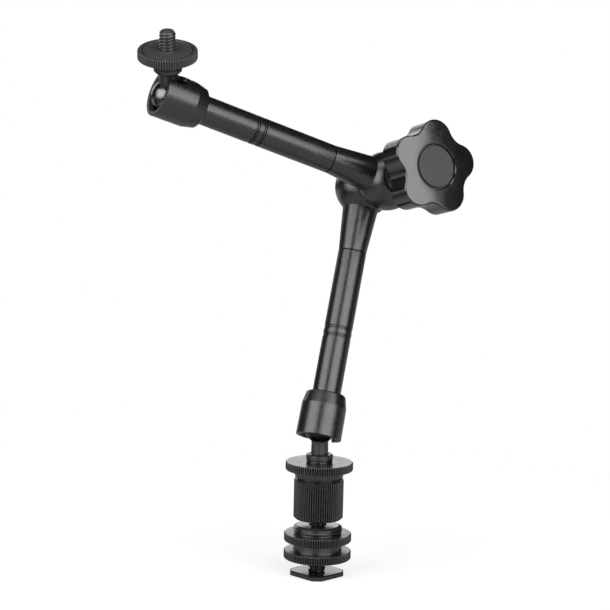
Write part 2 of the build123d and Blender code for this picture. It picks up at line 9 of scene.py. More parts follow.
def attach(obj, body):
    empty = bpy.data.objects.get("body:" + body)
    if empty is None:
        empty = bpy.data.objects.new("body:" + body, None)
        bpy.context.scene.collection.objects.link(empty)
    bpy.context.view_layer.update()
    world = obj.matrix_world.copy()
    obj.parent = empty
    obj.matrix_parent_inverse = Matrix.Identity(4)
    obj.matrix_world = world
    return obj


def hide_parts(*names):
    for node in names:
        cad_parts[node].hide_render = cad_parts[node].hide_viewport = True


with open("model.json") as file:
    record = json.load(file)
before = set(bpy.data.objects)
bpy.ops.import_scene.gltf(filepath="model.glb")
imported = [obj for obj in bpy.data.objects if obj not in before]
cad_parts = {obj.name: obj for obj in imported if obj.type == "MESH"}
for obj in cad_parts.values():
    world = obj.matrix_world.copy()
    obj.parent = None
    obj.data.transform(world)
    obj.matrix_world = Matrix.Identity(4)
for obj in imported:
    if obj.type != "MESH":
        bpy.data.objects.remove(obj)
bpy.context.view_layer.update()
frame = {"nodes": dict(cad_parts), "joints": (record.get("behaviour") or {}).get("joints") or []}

# The object's sizes are in millimetres until a mesh is made, and the stage and the lamps are in metres
MM = 0.001
MICROMETRE = 0.000001
TURN = 2 * pi
joints = {joint["name"]: joint for joint in frame["joints"]}
scene = bpy.context.scene


def joint_axis(name):
    return Vector(joints[name]["axis"]).normalized()


def joint_place(name):
    return Vector(joints[name]["pos_m"])


def placed(origin, z_axis, x_axis):
    """A frame as a matrix, in metres."""
    z = z_axis.normalized()
    x = (x_axis - z * x_axis.dot(z)).normalized()
    turn = Matrix((x, z.cross(x), z)).transposed().to_4x4()
    return Matrix.Translation(origin) @ turn


# Frames that the pieces are built in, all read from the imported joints
lower_axis = joint_axis("lower_arm_spin")
upper_axis = joint_axis("upper_arm_spin")
lower_slot = joint_axis("lower_ball_tilt").cross(lower_axis)
upper_slot = joint_axis("upper_ball_tilt").cross(upper_axis)
lower_ball = joint_place("lower_arm_spin")
upper_ball = joint_place("upper_arm_spin")

foot = Matrix.Identity(4)
lower_stud = placed(lower_ball, Vector((0, 0, -1)), Vector((1, 0, 0)))
upper_stud = placed(upper_ball, joint_axis("top_lock_travel"), upper_axis.cross(upper_slot))
arms = {
    "lower": placed(lower_ball, lower_axis, lower_slot),
    "upper": placed(upper_ball, -upper_axis, upper_slot),
}
knob_frame = placed(joint_place("knob_turn"), joint_axis("elbow"), lower_axis)

# Materials: noise scales are in features per metre, and relief is in micrometres
CLOUD_SCALE = 90
SHEEN_SCALE = 320
FINER = 2.7
SHALLOWER = 3
BLUENESS = 1.03
# The worn edges lighten between these pointiness values: partly real wear, partly a painted highlight
EDGE_WEAR_AND_GLINT_START = 0.53
EDGE_WEAR_AND_GLINT_END = 0.64
METAL_CLOUD_SCALE = 300
METAL_GREY = 0.5
DULLNESS = 0.85
TURNING_SCALE = 900
TURNING_STRETCH = (1, 1, 8)
TURNING_ROUGHNESS = 0.12
TURNING_DEPTH = 10


def socket(node, name, value):
    node.inputs[name].default_value = value


def add(nodes, kind, values=None, operation=None):
    """A new shader node, with the values of its sockets."""
    node = nodes.new("ShaderNode" + kind)
    if operation:
        node.operation = operation
    for name, value in (values or {}).items():
        socket(node, name, value)
    return node


def grey(value):
    return (value, value, value * BLUENESS)


def new_material(name, base, roughness, metallic=0.0):
    """A material with its shader, ready for its procedural detail."""
    material = bpy.data.materials.new(name)
    material.use_nodes = True
    nodes = material.node_tree.nodes
    shader = nodes["Principled BSDF"]
    socket(shader, "Base Color", (*grey(base), 1))
    socket(shader, "Roughness", roughness)
    socket(shader, "Metallic", metallic)
    return material, nodes, material.node_tree.links, shader


def noise(nodes, links, scale, detail=3.0, stretch=None):
    """Noise in the object's own space."""
    source = add(nodes, "TexCoord").outputs["Object"]
    if stretch:
        mapping = add(nodes, "Mapping", {"Scale": stretch})
        links.new(source, mapping.inputs["Vector"])
        source = mapping.outputs["Vector"]
    texture = add(nodes, "TexNoise", {"Scale": scale, "Detail": detail})
    links.new(source, texture.inputs["Vector"])
    return texture.outputs["Fac"]


def remap(nodes, links, source, low, high, start=0.3, end=0.7):
    """Spreads the part of a value between start and end, by default a noise's middle, from low to high."""
    spread = add(nodes, "MapRange", {"From Min": start, "From Max": end, "To Min": low, "To Max": high})
    links.new(source, spread.inputs["Value"])
    return spread.outputs["Result"]


def mixed(nodes, links, factor, first, second):
    """Runs between two colours, either of which may be another node's output."""
    mix = nodes.new("ShaderNodeMix")
    mix.data_type = "RGBA"
    links.new(factor, mix.inputs["Factor"])
    for name, colour in (("A", first), ("B", second)):
        if isinstance(colour, tuple):
            socket(mix, name, (*colour, 1))
        else:
            links.new(colour, mix.inputs[name])
    return mix.outputs["Result"]


def edge_wear_and_glint(nodes, links):
    """How far a point stands out as an edge, where the finish is lighter: partly rubbed thin, partly a
    painted highlight on the edge.
    """
    pointiness = add(nodes, "NewGeometry").outputs["Pointiness"]
    return remap(nodes, links, pointiness, 0.0, 1.0, EDGE_WEAR_AND_GLINT_START, EDGE_WEAR_AND_GLINT_END)


def bump(nodes, links, height, depth, shader, under=None):
    """Relief from a height between 0 and 1, on top of the relief under it."""
    relief = add(nodes, "Bump", {"Strength": 1.0, "Distance": depth * MICROMETRE})
    links.new(height, relief.inputs["Height"])
    if under:
        links.new(under.outputs["Normal"], relief.inputs["Normal"])
    links.new(relief.outputs["Normal"], shader.inputs["Normal"])
    return relief


def finish_black(name, colour, roughness, grain, depth, metallic=0.0, specular=0.85, wear_and_glint=0.0):
    """A black finish: blasted grain in two sizes, cloudy sheen and slightly uneven colour.

    The colour and the roughness run between two values. The edges are lighter by that value, partly real
    wear and partly a painted highlight.
    """
    dark, light = colour
    material, nodes, links, shader = new_material(name, dark, roughness[0], metallic)
    socket(shader, "Specular IOR Level", specular)
    cloud = remap(nodes, links, noise(nodes, links, CLOUD_SCALE), 0.0, 1.0)
    body = mixed(nodes, links, cloud, grey(dark), grey(light))
    # Lighter worn edges: partly real wear, partly a painted highlight where the edges catch the light
    if wear_and_glint:
        body = mixed(nodes, links, edge_wear_and_glint(nodes, links), body, grey(light + wear_and_glint))
    links.new(body, shader.inputs["Base Color"])
    sheen = remap(nodes, links, noise(nodes, links, SHEEN_SCALE), *roughness)
    links.new(sheen, shader.inputs["Roughness"])
    coarse = bump(nodes, links, noise(nodes, links, grain, 2.0), depth, shader)
    bump(nodes, links, noise(nodes, links, grain * FINER, 1.0), depth / SHALLOWER, shader, coarse)
    return material


# The worn amounts below are partly real edge wear and partly painted highlights on the edges
arm_black = finish_black("arm_black", (0.007, 0.010), (0.22, 0.29), grain=1900, depth=60)
disc_black = finish_black(
    "disc_black", (0.004, 0.007), (0.24, 0.31), grain=2600, depth=10, specular=0.9, wear_and_glint=0.03
)
face_black = finish_black("face_black", (0.010, 0.014), (0.24, 0.31), grain=1900, depth=6)
bright_black = finish_black("bright_black", (0.03, 0.045), (0.14, 0.20), grain=1600, depth=3, metallic=0.4)
post_black = finish_black("post_black", (0.007, 0.011), (0.17, 0.24), grain=1900, depth=4)
screw_black = finish_black(
    "screw_black", (0.028, 0.038), (0.22, 0.30), grain=1900, depth=5, specular=1.0, wear_and_glint=0.08
)
# One ball finish in two tones: the darker is painted shade for the lower ball, the lighter a painted
# highlight for the upper ball
ball_painted_shade = finish_black("ball_painted_shade", (0.026, 0.038), (0.24, 0.32), grain=1500, depth=8, metallic=1.0)
ball_painted_highlight = finish_black("ball_painted_highlight", (0.08, 0.18), (0.17, 0.27), grain=800, depth=90, metallic=1.0)
# The socket mouth's lighter tone is a painted reflection on its rim and countersink
mouth_painted_sheen = finish_black(
    "mouth_painted_sheen", (0.030, 0.038), (0.30, 0.38), grain=1900, depth=10, specular=0.6, wear_and_glint=0.1
)
stud_black = finish_black(
    "stud_black", (0.014, 0.022), (0.28, 0.36), grain=1900, depth=12, metallic=0.25, specular=1.0, wear_and_glint=0.1
)
top_black = finish_black("top_black", (0.032, 0.042), (0.36, 0.44), grain=2600, depth=15, wear_and_glint=0.06)
knob_black = finish_black("knob_black", (0.007, 0.009), (0.10, 0.14), grain=2600, depth=3, specular=1.0)
cap_black = finish_black("cap_black", (0.03, 0.036), (0.44, 0.50), grain=3200, depth=20, specular=0.5)
rubber_black = finish_black("rubber_black", (0.05, 0.065), (0.42, 0.5), grain=2600, depth=10, specular=0.5)
nylon_black = finish_black("nylon_black", (0.02, 0.03), (0.45, 0.55), grain=2000, depth=10, specular=0.5)


def turned_metal(name, colour, roughness):
    """Bare metal with fine turning marks."""
    material, nodes, links, shader = new_material(name, METAL_GREY, roughness, 1.0)
    cloud = remap(nodes, links, noise(nodes, links, METAL_CLOUD_SCALE), 0.0, 1.0)
    dull = tuple(channel * DULLNESS for channel in colour)
    links.new(mixed(nodes, links, cloud, dull, colour), shader.inputs["Base Color"])
    marks = noise(nodes, links, TURNING_SCALE, 2.0, TURNING_STRETCH)
    uneven = remap(nodes, links, marks, roughness, roughness + TURNING_ROUGHNESS)
    links.new(uneven, shader.inputs["Roughness"])
    bump(nodes, links, marks, TURNING_DEPTH, shader)
    return material


steel = turned_metal("steel", (0.56, 0.56, 0.58), roughness=0.25)
# The brass is darkened far below its own colour: painted shade for the cups and the insert deep in their
# recesses
brass = turned_metal("brass", (0.10, 0.08, 0.05), roughness=0.4)

# Mesh tools
SMOOTH_ANGLE = radians(35)
THREAD_SMOOTH_ANGLE = radians(80)
ROUND_STEPS = 3
ROUND_SHARE = 0.45
ON_AXIS = 1e-6
FLAT_RISE = 0.04
WELD_GAP = 1e-6


def dress(piece, body, material, node=None, faces=None):
    """Gives a new piece its material, body and the CAD node that it stands for."""
    piece.data.materials.append(material)
    if faces:
        piece.data.materials.append(faces)
    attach(piece, body)
    if node:
        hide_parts(node)
    return piece


def even_normals(piece):
    """Lets the large faces keep their own normals, so that only the rounded edges shade softly."""
    normals = piece.modifiers.new("normals", "WEIGHTED_NORMAL")
    normals.weight = 100
    normals.keep_sharp = True


def piece_from(mesh, name, matrix):
    """Makes an object of a bmesh built in millimetres in its frame."""
    bmesh.ops.recalc_face_normals(mesh, faces=mesh.faces)
    data = bpy.data.meshes.new(name)
    mesh.to_mesh(data)
    mesh.free()
    data.transform(matrix @ Matrix.Scale(MM, 4))
    data.shade_smooth()
    data.set_sharp_from_angle(angle=SMOOTH_ANGLE)
    piece = bpy.data.objects.new(name, data)
    scene.collection.objects.link(piece)
    even_normals(piece)
    return piece


def rounded(points, radius, closed=True):
    """Rounds the corners of a (radius, height) profile, using less than half of each edge."""
    count = len(points)
    result = []
    for index, point in enumerate(points):
        if not closed and index in (0, count - 1):
            result.append(point)
            continue
        here = Vector(point)
        before = Vector(points[index - 1]) - here
        after = Vector(points[(index + 1) % count]) - here
        opening = before.angle(after)
        reach = min(radius / tan(opening / 2), before.length * ROUND_SHARE, after.length * ROUND_SHARE)
        start = here + before.normalized() * reach
        end = here + after.normalized() * reach
        for step in range(ROUND_STEPS + 1):
            t = step / ROUND_STEPS
            result.append(tuple(start * (1 - t) ** 2 + here * 2 * t * (1 - t) + end * t**2))
    return result


def ring_of(mesh, points):
    """A ring of vertices at even angles about z, with a radius and a height for each."""
    ring = []
    for index, (radius, height) in enumerate(points):
        angle = TURN * index / len(points)
        ring.append(mesh.verts.new((radius * cos(angle), radius * sin(angle), height)))
    return ring


def skin(name, matrix, rings, closed=True, turned=False):
    """Joins rings of (radius, height) points about the frame's z. A ring of one point lies on the axis.

    With turned, the faces that lie square to z take the piece's second material.
    """
    mesh = bmesh.new()
    made = [ring_of(mesh, ring) for ring in rings]
    pairs = list(zip(made, made[1:]))
    if closed:
        pairs.append((made[-1], made[0]))
    for low, high in pairs:
        count = max(len(low), len(high))
        if count == 1:
            continue
        for index in range(count):
            after = (index + 1) % count
            if len(low) == 1:
                mesh.faces.new((low[0], high[after], high[index]))
            elif len(high) == 1:
                mesh.faces.new((low[index], low[after], high[0]))
            else:
                mesh.faces.new((low[index], low[after], high[after], high[index]))
    if turned:
        for face in mesh.faces:
            heights = [corner.co.z for corner in face.verts]
            if max(heights) - min(heights) < FLAT_RISE:
                face.material_index = 1
    return piece_from(mesh, name, matrix)


def lathe(name, matrix, profile, segments=128, closed=True, limit=None, turned=False):
    """Spins a profile about the frame's z. limit(angle, height) is the greatest radius there."""
    rings = []
    for radius, height in profile:
        if radius < ON_AXIS:
            rings.append([(0, height)])
        elif limit:
            angles = [TURN * index / segments for index in range(segments)]
            rings.append([(min(radius, limit(angle, height)), height) for angle in angles])
        else:
            rings.append([(radius, height)] * segments)
    return skin(name, matrix, rings, closed, turned)


def carried(name, material, width=0.0, angle=30):
    """Finishes a CAD node that keeps its own shape: joined facets, a fine bevel and its material.

    The bevel is as wide as width, on the edges that turn by more than the angle in degrees.
    """
    node = frame["nodes"][name]
    node.data.materials.clear()
    node.data.materials.append(material)
    weld = node.modifiers.new("weld", "WELD")
    weld.merge_threshold = WELD_GAP
    if width:
        edge = node.modifiers.new("bevel", "BEVEL")
        edge.width = width * MM
        edge.segments = 2
        edge.limit_method = "ANGLE"
        edge.angle_limit = radians(angle)
        edge.harden_normals = True
    even_normals(node)
    node.data.shade_smooth()
    return node


# Threads and knurls
THREAD_PITCH = 1.27
THREAD_DEPTH = 0.75
THREAD_STEPS = 20
THREAD_SEGMENTS = 72
CREST_SHARE = 0.12
FLANK_SHARE = 0.8
TIP_STEPS = 4
KNURL_PITCH = 1.0
KNURL_DEPTH = 0.58
KNURL_STEPS = 8
KNURL_SHARPNESS = 0.85
KNURLED_EDGE = 0.12


def thread(radius):
    """A right-hand thread with flat-topped crests and rounded roots."""

    def limit(angle, height):
        phase = (height / THREAD_PITCH - angle / TURN) % 1.0
        slope = min(1.0, max(0.0, (abs(phase - 0.5) * 2 - CREST_SHARE) / FLANK_SHARE))
        return radius - THREAD_DEPTH * slope

    return limit


def threaded(name, matrix, radius, low, high, body, slot, material, node=None, point=0.7):
    """A threaded rod from low to high, with a bevelled tip as long as point."""
    shoulder = high - point
    count = round((shoulder - low) * THREAD_STEPS / THREAD_PITCH)
    wall = [(radius, low + (shoulder - low) * index / count) for index in range(count + 1)]
    shares = [index / TIP_STEPS for index in range(1, TIP_STEPS + 1)]
    tip = [(radius - point * share, high - point * (1 - share)) for share in shares]
    profile = [(0, low), *wall, *tip, (0, high)]
    piece = lathe(name, matrix, profile, THREAD_SEGMENTS, False, thread(radius))
    piece.data.set_sharp_from_angle(angle=THREAD_SMOOTH_ANGLE)
    return dress(piece, body, material, node)


def knurled_piece(name, matrix, radius, points, body, node, side=disc_black, face=face_black):
    """A turned piece whose rim is cut with a straight knurl: rounded crests between narrow grooves."""
    teeth = round(TURN * radius / KNURL_PITCH)

    def limit(angle, height):
        wave = abs(sin(teeth * angle / 2))
        return radius - KNURL_DEPTH * (1 - wave) ** KNURL_SHARPNESS

    piece = lathe(name, matrix, rounded(points, KNURLED_EDGE), teeth * KNURL_STEPS, True, limit, True)
    return dress(piece, body, side, node, face)


def rim(radius, base, height, chamfer):
    """The outline of a disc's rim, with a chamfer at both edges."""
    top = base + height
    return [
        (radius - chamfer, base),
        (radius, base + chamfer),
        (radius, top - chamfer),
        (radius - chamfer, top),
    ]


# Foot
POST_RADIUS = 3.55
POST_BORE = 3.6
POST_BASE = 1.9
POST_TOP = 20.4
POST_SCREW_BASE = 20.0
POST_SCREW_TOP = 30.75
POST_TIP = 0.3
SCREW_RADIUS = 3.175
SCREW_BORE = 3.2
DISC_RADIUS = 13.75
DISC_HEIGHT = 3.35
DISC_CHAMFER = 0.35
BOSS_RADIUS = 9.9
BOSS_CHAMFER = 0.5
BOSS_WAIST = 9.5
BOSS_FACE = 9.3
GRIP_INNER = 4.95
GRIP_OUTER = 9.05
GRIP_DEPTH = 0.8
LOWER_DISC_BASE = 7.3
LOWER_BOSS_TOP = 13.9
UPPER_DISC_BASE = 14.5
UPPER_BOSS_TOP = 20.1
BEAD_BASE = 18.3
BEAD_LOW = 18.7
BEAD_HIGH = 19.3
BEAD_TOP = 19.65
CAP_RING_BEVEL_BASE = 20.4
CAP_RING_TOP = 21.1
CAP_RING_FACE = 8.5
CAP_RING_EDGE = 0.2

carried("shoe_plate", post_black, width=0.12)
carried("shoe_grip_ring", rubber_black, width=0.05)

post = ("foot", "black_steel", post_black)
threaded("post_thread", foot, POST_RADIUS, POST_BASE, POST_TOP, *post, "shoe_post", POST_TIP)
threaded("post_screw", foot, SCREW_RADIUS, POST_SCREW_BASE, POST_SCREW_TOP, *post)

knurled_piece(
    "lower_shoe_disc",
    foot,
    DISC_RADIUS,
    [
        (POST_BORE, LOWER_DISC_BASE),
        (GRIP_INNER, LOWER_DISC_BASE),
        (GRIP_INNER, LOWER_DISC_BASE + GRIP_DEPTH),
        (GRIP_OUTER, LOWER_DISC_BASE + GRIP_DEPTH),
        (GRIP_OUTER, LOWER_DISC_BASE),
        *rim(DISC_RADIUS, LOWER_DISC_BASE, DISC_HEIGHT, DISC_CHAMFER),
        (BOSS_RADIUS, LOWER_DISC_BASE + DISC_HEIGHT),
        (BOSS_RADIUS, LOWER_BOSS_TOP - BOSS_CHAMFER),
        (BOSS_RADIUS - BOSS_CHAMFER, LOWER_BOSS_TOP),
        (POST_BORE, LOWER_BOSS_TOP),
    ],
    "lower_disc",
    "shoe_lower_disc",
)
knurled_piece(
    "upper_shoe_disc",
    foot,
    DISC_RADIUS,
    [
        (POST_BORE, UPPER_DISC_BASE),
        *rim(DISC_RADIUS, UPPER_DISC_BASE, DISC_HEIGHT, DISC_CHAMFER),
        (BOSS_WAIST, UPPER_DISC_BASE + DISC_HEIGHT),
        (BOSS_WAIST, BEAD_BASE),
        (BOSS_RADIUS, BEAD_LOW),
        (BOSS_RADIUS, BEAD_HIGH),
        (BOSS_WAIST, BEAD_TOP),
        (BOSS_FACE, UPPER_BOSS_TOP),
        (POST_BORE, UPPER_BOSS_TOP),
    ],
    "upper_disc",
    "shoe_upper_disc",
)
cap_ring_profile = [
    (POST_BORE, UPPER_BOSS_TOP),
    (BOSS_RADIUS, UPPER_BOSS_TOP),
    (BOSS_RADIUS, CAP_RING_BEVEL_BASE),
    (CAP_RING_FACE, CAP_RING_TOP),
    (POST_BORE, CAP_RING_TOP),
]
cap_ring = lathe("cap_ring", foot, rounded(cap_ring_profile, CAP_RING_EDGE))
dress(cap_ring, "cap_ring", bright_black, "shoe_cap_ring")

# Coupler
COUPLER_RADIUS = 10.12
COUPLER_BASE = 23.75
COUPLER_TOP = 40.0
COUPLER_FOOT = 9.25
COUPLER_LOW = 24.5
COUPLER_HIGH = 39.85
RING_RADIUS = 9.85
RING_EDGE = 0.08
SEAM_RADIUS = 8.7
SEAM_TOP = 40.5
LOCK_BOSS_BASE = 40.95
LOCK_DISC_BASE = 43.95

knurled_piece(
    "knurled_barrel",
    foot,
    COUPLER_RADIUS,
    [
        (SCREW_BORE, COUPLER_BASE),
        (COUPLER_FOOT, COUPLER_BASE),
        (COUPLER_RADIUS, COUPLER_LOW),
        (COUPLER_RADIUS, COUPLER_HIGH),
        (RING_RADIUS, COUPLER_TOP),
        (SCREW_BORE, COUPLER_TOP),
    ],
    "barrel",
    "coupler",
)
barrel_ring_profile = [
    (SCREW_BORE, COUPLER_TOP),
    (SEAM_RADIUS, COUPLER_TOP),
    (SEAM_RADIUS, SEAM_TOP),
    (RING_RADIUS, SEAM_TOP),
    (BOSS_RADIUS - BOSS_CHAMFER, LOCK_BOSS_BASE),
    (SCREW_BORE, LOCK_BOSS_BASE),
]
barrel_ring = lathe("barrel_ring", foot, rounded(barrel_ring_profile, RING_EDGE))
dress(barrel_ring, "barrel_ring", bright_black, "coupler_ring")
knurled_piece(
    "lock_disc",
    foot,
    DISC_RADIUS,
    [
        (SCREW_BORE, LOCK_BOSS_BASE),
        (BOSS_RADIUS - BOSS_CHAMFER, LOCK_BOSS_BASE),
        (BOSS_RADIUS, LOCK_BOSS_BASE + BOSS_CHAMFER),
        (BOSS_RADIUS, LOCK_DISC_BASE),
        *rim(DISC_RADIUS, LOCK_DISC_BASE, DISC_HEIGHT, DISC_CHAMFER),
        (SCREW_BORE, LOCK_DISC_BASE + DISC_HEIGHT),
    ],
    "lock_disc",
    "lower_lock_disc",
)
carried("lower_thrust_ring", post_black, width=0.08)

# Ball studs
BALL_RADIUS = 6.6
BALL_STEPS = 40
BALL_EDGE = 5.65
NECK_RADIUS = 3.53
NECK_WAIST = 3.43
NECK_FILLET = 0.3
WAIST_START = 0.8
WAIST_END = 1.8
COLLAR_RADIUS = 5.45
COLLAR_HEIGHT = 2.75
COLLAR_CHAMFER = 0.4
COLLAR_SHOULDER = 2.3
STUD_EDGE = 0.12
SCREW_SINK = 0.2


def ball_stud(side, matrix, reach, bevel, screw_end, ball_material):
    """The ball, its waisted neck and the collar, with the thread as a piece of its own.

    reach is the way from the ball's centre to the collar, and screw_end the way to the screw's end.
    """
    meet = sqrt(BALL_RADIUS**2 - NECK_RADIUS**2)
    stop = atan(meet / NECK_RADIUS)
    ball = [(0, -BALL_RADIUS)]
    for index in range(1, BALL_STEPS + 1):
        angle = -pi / 2 + (stop + pi / 2) * index / BALL_STEPS
        ball.append((BALL_RADIUS * cos(angle), BALL_RADIUS * sin(angle)))
    collar_top = reach + COLLAR_HEIGHT
    shoulder = rounded(
        [
            ball[-1],
            (NECK_WAIST, meet + WAIST_START),
            (NECK_WAIST, meet + WAIST_END),
            (NECK_RADIUS, reach - NECK_FILLET),
            (NECK_RADIUS + NECK_FILLET, reach),
            (COLLAR_RADIUS - bevel, reach),
            (COLLAR_RADIUS, reach + bevel),
            (COLLAR_RADIUS, reach + COLLAR_SHOULDER),
            (COLLAR_RADIUS - COLLAR_CHAMFER, collar_top),
            (SCREW_RADIUS, collar_top),
        ],
        STUD_EDGE,
        closed=False,
    )
    name = side + "_stud_ball"
    body = side + "_stud"
    piece = lathe(name, matrix, [*ball, *shoulder[1:], (0, collar_top)], closed=False)
    dress(piece, body, stud_black, side + "_ball_stud", ball_material)
    for face in piece.data.polygons:
        if (matrix.inverted() @ face.center).z < BALL_EDGE * MM:
            face.material_index = 1
    screw_start = collar_top - SCREW_SINK
    threaded(name + "_screw", matrix, SCREW_RADIUS, screw_start, screw_end, body, "ball_steel", screw_black)


# The lower ball's darker finish is painted shade, and the upper ball's lighter finish is a painted
# highlight
ball_stud("lower", lower_stud, reach=10.95, bevel=0.45, screw_end=28.05, ball_material=ball_painted_shade)
ball_stud("upper", upper_stud, reach=9.85, bevel=1.1, screw_end=26.85, ball_material=ball_painted_highlight)
carried("top_thrust_ring", post_black, width=0.08)

# Camera platform
PLATFORM_RADIUS = 11.5
PLATFORM_BASE = 13.12
PLATFORM_BOSS = 5.3
PLATFORM_BOSS_FACE = 5.0
PLATFORM_BOSS_BASE = 13.4
PLATFORM_DISC_BASE = 15.8
PLATFORM_HEIGHT = 3.4
PLATFORM_CHAMFER = 0.25
PLATFORM_TOP = 19.2
RECESS_RADIUS = 9.8
RECESS_FLOOR = 18.0
PAD_RADIUS = 9.4
RIB_PITCH = 0.9
RIB_DEPTH = 0.42
RIB_CREST = 0.7
PAD_EDGE = 0.3
PAD_RINGS = 62
PAD_SEGMENTS = 360
RIB_LINE = Vector((0.70, 0.70, -0.13))

knurled_piece(
    "top_platform",
    upper_stud,
    PLATFORM_RADIUS,
    [
        (SCREW_BORE, PLATFORM_BASE),
        (PLATFORM_BOSS_FACE, PLATFORM_BASE),
        (PLATFORM_BOSS, PLATFORM_BOSS_BASE),
        (PLATFORM_BOSS, PLATFORM_DISC_BASE),
        *rim(PLATFORM_RADIUS, PLATFORM_DISC_BASE, PLATFORM_HEIGHT, PLATFORM_CHAMFER),
        (RECESS_RADIUS, PLATFORM_TOP),
        (RECESS_RADIUS, RECESS_FLOOR),
        (SCREW_BORE, RECESS_FLOOR),
    ],
    "top_lock",
    "top_disc",
    top_black,
    top_black,
)


def ribbed_pad():
    """The rubber pad, with straight ribs across its face."""
    local = upper_stud.to_3x3().transposed() @ RIB_LINE
    across = Vector((-local.y, local.x)).normalized()
    rings = [[(SCREW_BORE, RECESS_FLOOR)] * PAD_SEGMENTS]
    for ring_index in range(PAD_RINGS + 1):
        radius = SCREW_BORE + (PAD_RADIUS - SCREW_BORE) * ring_index / PAD_RINGS
        edge = max(0.0, min(1.0, (PAD_RADIUS - radius) / PAD_EDGE, (radius - SCREW_BORE) / PAD_EDGE))
        ring = []
        for index in range(PAD_SEGMENTS):
            angle = TURN * index / PAD_SEGMENTS
            place = radius * (cos(angle) * across.x + sin(angle) * across.y)
            wave = 0.5 + 0.5 * cos(TURN * place / RIB_PITCH)
            ring.append((radius, PLATFORM_TOP - RIB_DEPTH * (1 - wave**RIB_CREST) * edge))
        rings.append(ring)
    rings.append([(PAD_RADIUS, RECESS_FLOOR)] * PAD_SEGMENTS)
    return skin("ribbed_pad", upper_stud, rings)


dress(ribbed_pad(), "top_lock", rubber_black, "top_pad")

# Sockets, cups, rods, hubs and tubes
SEAT_RADIUS = 7.55
SEAT_START = 0.04
SEAT_STEP = 0.05
SEAT_STEPS = 6
THROAT = 2.6
MOUTH_PLACE = -4.3
MOUTH_INNER = 7.7
SOCKET_RADIUS = 9.3
SHOULDER_RADIUS = 9.15
SHOULDER_PLACE = 8.8
TAPER_RADIUS = 8.1
TAPER_PLACE = 13.4
SOCKET_END_RADIUS = 7.6
SOCKET_END = 13.9
SOCKET_EDGE = 0.16
SOCKET_SEGMENTS = 144
SPIGOT_RADIUS = 5.2
SPIGOT_PLACE = 11.3
SLOT_HALF = 4.83
SLOT_END = 0.2
SLOT_STEPS = 32
PAST_MOUTH = -6.0
PAST_WALL = 11
TUBE_RADIUS = 5.82
TUBE_BORE = 3.0
TUBE_EDGE = 0.06
TUBE_BEVEL = 0.15
TUBE_BEVEL_END = 14.1
TUBE_END = 74.0
GROOVE_PLACES = (37.9, 41.2)
GROOVE_DEPTH = 0.7
LAND_DEPTH = 0.15
GROOVE_EDGE_HALF = 0.68
GROOVE_FLOOR_HALF = 0.6
LAND_FOOT_HALF = 0.32
LAND_HALF = 0.2
SEAM_FLOOR = 4.7
SEAM_START = 74.05
SEAM_END = 74.5
TAIL_RADIUS = 4.6
TAIL_END = 84.0


def slot_cutter(matrix):
    """A round-ended block, for the slot in one side of a socket."""
    mesh = bmesh.new()
    outline = [(-SLOT_HALF, PAST_MOUTH), (SLOT_HALF, PAST_MOUTH)]
    for index in range(SLOT_STEPS + 1):
        angle = pi * index / SLOT_STEPS
        outline.append((SLOT_HALF * cos(angle), SLOT_END + SLOT_HALF * sin(angle)))
    near = [mesh.verts.new((0, y, z)) for y, z in outline]
    far = [mesh.verts.new((PAST_WALL, y, z)) for y, z in outline]
    mesh.faces.new(near)
    mesh.faces.new(far)
    for index in range(len(outline)):
        after = (index + 1) % len(outline)
        mesh.faces.new((near[index], near[after], far[after], far[index]))
    return piece_from(mesh, "slot_cutter", matrix)


def cut_slot(piece, matrix):
    """Cuts the side slot out of a socket and gives it the shaped mesh."""
    cutter = slot_cutter(matrix)
    piece.modifiers.clear()
    cut = piece.modifiers.new("cut", "BOOLEAN")
    cut.object = cutter
    cut.solver = "EXACT"
    shaped = bpy.data.meshes.new_from_object(piece.evaluated_get(bpy.context.evaluated_depsgraph_get()))
    piece.modifiers.clear()
    piece.data = shaped
    bpy.data.objects.remove(cutter)
    shaped.shade_smooth()
    shaped.set_sharp_from_angle(angle=SMOOTH_ANGLE)
    even_normals(piece)


def ball_socket(side, matrix):
    """A turned socket with a flat-rimmed mouth and a crisp shoulder, and its side slot cut out."""
    points = rounded(
        [
            (sqrt(SEAT_RADIUS**2 - THROAT**2), -THROAT),
            (MOUTH_INNER, MOUTH_PLACE),
            (SOCKET_RADIUS, MOUTH_PLACE),
            (SHOULDER_RADIUS, SHOULDER_PLACE),
            (TAPER_RADIUS, TAPER_PLACE),
            (SOCKET_END_RADIUS, SOCKET_END),
            (SPIGOT_RADIUS, SOCKET_END),
            (SPIGOT_RADIUS, SPIGOT_PLACE),
            (SEAT_RADIUS, SPIGOT_PLACE),
            (SEAT_RADIUS, 0),
        ],
        SOCKET_EDGE,
        closed=False,
    )
    # The seat, from its widest ring to just short of the throat
    for step in range(SEAT_STEPS):
        angle = SEAT_START + SEAT_STEP * step
        points.append((SEAT_RADIUS * cos(angle), -SEAT_RADIUS * sin(angle)))
    piece = lathe(side + "_ball_socket", matrix, points, SOCKET_SEGMENTS)
    cut_slot(piece, matrix)
    dress(piece, side + "_arm", arm_black, side + "_socket", mouth_painted_sheen)
    # The mouth's rim and countersink take the lighter finish, a painted reflection
    for face in piece.data.polygons:
        centre = (matrix.inverted() @ face.center) / MM
        if centre.z < -THROAT and centre.xy.length < SHOULDER_RADIUS:
            face.material_index = 1


